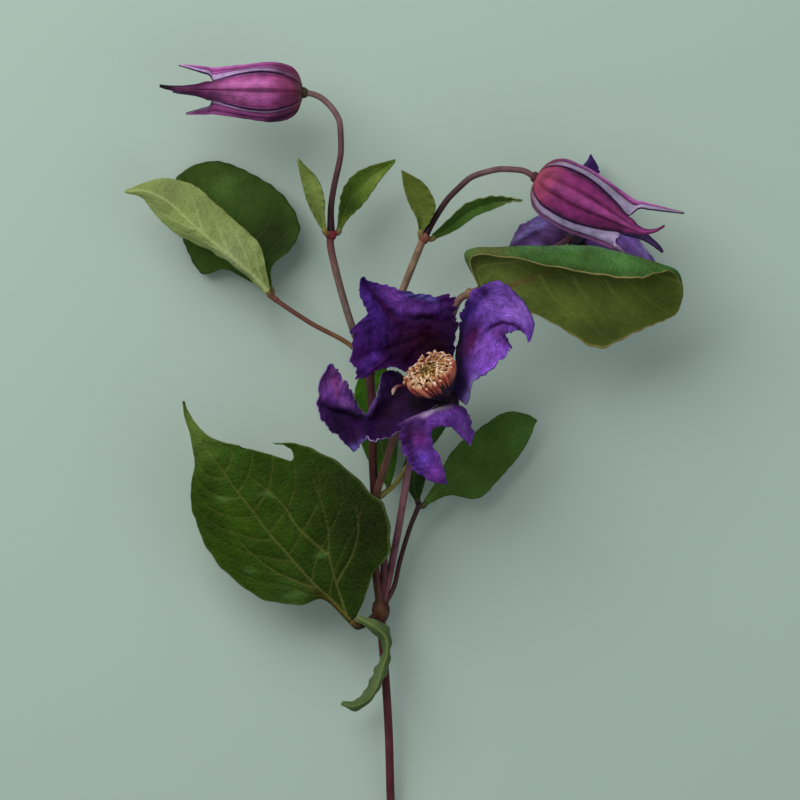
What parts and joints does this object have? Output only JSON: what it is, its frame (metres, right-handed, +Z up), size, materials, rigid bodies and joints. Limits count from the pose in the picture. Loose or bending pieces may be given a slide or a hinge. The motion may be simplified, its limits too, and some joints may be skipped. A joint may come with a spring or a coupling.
{
  "type": "clematis flower",
  "caption": "Cut flowering stem of a clematis with bell-shaped violet flowers, nodding magenta buds and green leaves, lying down.",
  "frame": {"origin": "on the surface, 3 mm inside the cut end of the stem, on the flat lower face that it rests on", "axes": "+X across the spray, +Y from the cut end of the stem towards the buds, +Z up from the surface, towards the open flower's face"},
  "size_m": [0.1744, 0.2602, 0.0543],
  "materials": {
    "stem": "satin",
    "leaf_upper": "satin",
    "leaf_underside": "matte",
    "sepal_violet": "matte",
    "bud_magenta": "matte",
    "stamens": "matte"
  },
  "bodies": {
    "root": {"stem": "stem", "lower_left_leaf": "leaf_upper", "lower_curled_leaf": "leaf_upper", "upper_left_light_leaflet": "leaf_underside", "upper_left_dark_leaflet": "leaf_upper", "left_node_outer_leaf": "leaf_upper", "left_node_inner_leaf": "leaf_upper", "right_node_outer_leaf": "leaf_upper", "right_node_inner_leaf": "leaf_upper", "right_folded_leaf": "leaf_underside", "back_right_leaf": "leaf_upper", "back_small_leaflet": "leaf_upper", "back_middle_leaf": "leaf_upper", "back_upper_leaf": "leaf_upper", "open_flower_top_sepal": "sepal_violet", "open_flower_right_sepal": "sepal_violet", "open_flower_left_sepal": "sepal_violet", "open_flower_bottom_sepal": "sepal_violet", "back_flower_left_sepal": "sepal_violet", "back_flower_top_sepal": "sepal_violet", "back_flower_right_sepal": "sepal_violet", "back_flower_bottom_sepal": "sepal_violet", "left_bud_top_sepal": "bud_magenta", "left_bud_front_sepal": "bud_magenta", "left_bud_bottom_sepal": "bud_magenta", "left_bud_back_sepal": "bud_magenta", "right_bud_top_sepal": "bud_magenta", "right_bud_front_sepal": "bud_magenta", "right_bud_bottom_sepal": "bud_magenta", "right_bud_back_sepal": "bud_magenta", "open_flower_stamens": "stamens", "back_flower_stamens": "stamens"}
  },
  "joints": []
}
